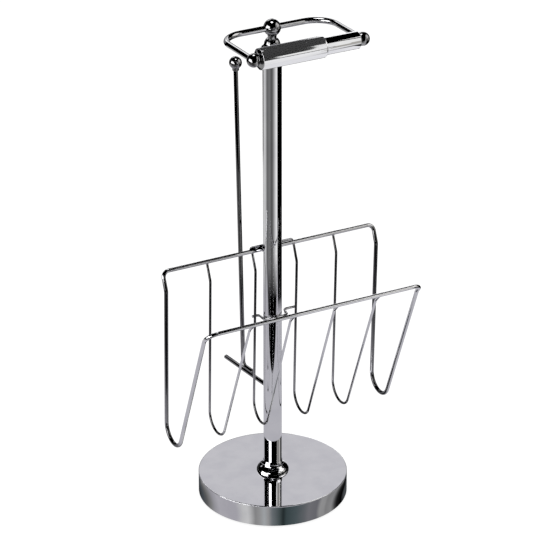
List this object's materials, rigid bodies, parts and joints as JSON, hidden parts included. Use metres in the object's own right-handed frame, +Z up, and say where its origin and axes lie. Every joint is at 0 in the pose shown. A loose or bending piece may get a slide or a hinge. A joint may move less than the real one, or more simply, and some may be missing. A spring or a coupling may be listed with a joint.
{
  "type": "toilet roll holder with magazine rack",
  "caption": "Free-standing chrome toilet roll holder: weighted round base, post, sprung telescoping roller on a U frame, upright rod for spare rolls and a V-shaped wire magazine rack.",
  "frame": {"origin": "middle of the pad's underside, where the stand rests", "axes": "+Z up along the post, +X along the roller and the rack's rails, -Y the front where the rack opens, +Y the side of the spare roll rod"},
  "size_m": [0.3193, 0.2361, 0.6997],
  "materials": {
    "chrome": "polished bright chrome plate on steel",
    "cast_iron": "rough cast, painted black",
    "foam_pad": "matt closed-cell foam",
    "zinc_steel": "zinc plated",
    "spring_steel": "plain drawn spring wire"
  },
  "bodies": {
    "stand": {"base_cover": "chrome", "base_weight": "cast_iron", "base_pad": "foam_pad", "base_bolt": "zinc_steel", "base_washer": "zinc_steel", "foot_collar": "chrome", "foot_plug": "zinc_steel", "post_tube": "chrome", "post_cap": "chrome", "finial_stud": "zinc_steel", "finial_ball": "chrome", "roll_frame": "chrome", "end_ball_left": "chrome", "end_ball_right": "chrome", "spare_roll_arm": "chrome", "spare_roll_rod": "chrome", "spare_rod_ball": "chrome", "rack_frame": "chrome", "rack_wire_2": "chrome", "rack_wire_3": "chrome", "rack_wire_4": "chrome", "rack_wire_5": "chrome", "rack_strap": "chrome", "rack_hook": "chrome", "rack_loop_wire": "chrome"},
    "roller_outer": {"roller_outer_tube": "chrome", "roller_outer_cap": "chrome", "roller_spring": "spring_steel"},
    "roller_inner": {"roller_inner_tube": "chrome", "roller_inner_cap": "chrome"}
  },
  "joints": [
    {"name": "roller_spin", "type": "hinge", "parent": "stand", "child": "roller_outer", "pos_m": [0, -0.0986, 0.68567], "axis": [1, 0, 0], "continuous": true},
    {"name": "roller_slide", "type": "slide", "parent": "roller_outer", "child": "roller_inner", "axis": [1, 0, 0], "range_m": [-0.012, 0], "stiffness_N_per_m": 300, "springref_m": 0.008, "deforming": ["roller_spring"]}
  ]
}
